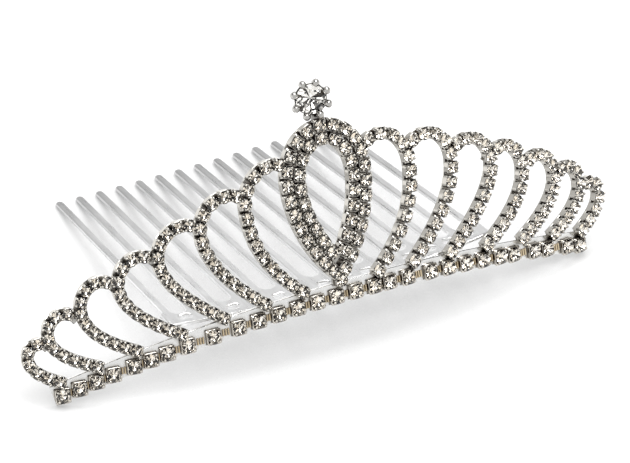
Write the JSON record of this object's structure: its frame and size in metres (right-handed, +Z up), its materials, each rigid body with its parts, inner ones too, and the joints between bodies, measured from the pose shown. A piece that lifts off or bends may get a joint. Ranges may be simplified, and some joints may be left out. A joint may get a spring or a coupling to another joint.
{
  "type": "diadem",
  "caption": "Bent metal diadem with rising loops of round cut stones, a drop-shaped centre with a large stone on top, a row of square cups along its base and a hair comb behind.",
  "frame": {"origin": "bottom centre of the box around the diadem as it rests on its band ends and comb tips", "axes": "+X along the band towards the wearer's left, +Y back along the comb's teeth, +Z up"},
  "size_m": [0.1439, 0.061, 0.0545],
  "materials": {
    "silver_plate": "polished",
    "comb_metal": "satin",
    "crystal": "polished"
  },
  "bodies": {
    "root": {"frame": "silver_plate", "comb": "comb_metal", "solitaire_stone": "crystal", "centre_stones_outer": "crystal", "centre_stones_inner": "crystal", "loop_stones_left_1": "crystal", "loop_stones_left_2": "crystal", "loop_stones_left_3": "crystal", "loop_stones_left_4": "crystal", "loop_stones_left_5": "crystal", "loop_stones_left_6": "crystal", "loop_stones_left_7": "crystal", "loop_stones_right_1": "crystal", "loop_stones_right_2": "crystal", "loop_stones_right_3": "crystal", "loop_stones_right_4": "crystal", "loop_stones_right_5": "crystal", "loop_stones_right_6": "crystal", "loop_stones_right_7": "crystal", "base_stone_1": "crystal", "base_stone_2": "crystal", "base_stone_3": "crystal", "base_stone_4": "crystal", "base_stone_5": "crystal", "base_stone_6": "crystal", "base_stone_7": "crystal", "base_stone_8": "crystal", "base_stone_9": "crystal", "base_stone_10": "crystal", "base_stone_11": "crystal", "base_stone_12": "crystal", "base_stone_13": "crystal", "base_stone_14": "crystal", "base_stone_15": "crystal", "base_stone_16": "crystal", "base_stone_17": "crystal", "base_stone_18": "crystal", "base_stone_19": "crystal", "base_stone_20": "crystal", "base_stone_21": "crystal", "base_stone_22": "crystal", "base_stone_23": "crystal", "base_stone_24": "crystal", "base_stone_25": "crystal", "base_stone_26": "crystal", "base_stone_27": "crystal", "base_stone_28": "crystal", "base_stone_29": "crystal"}
  },
  "joints": []
}
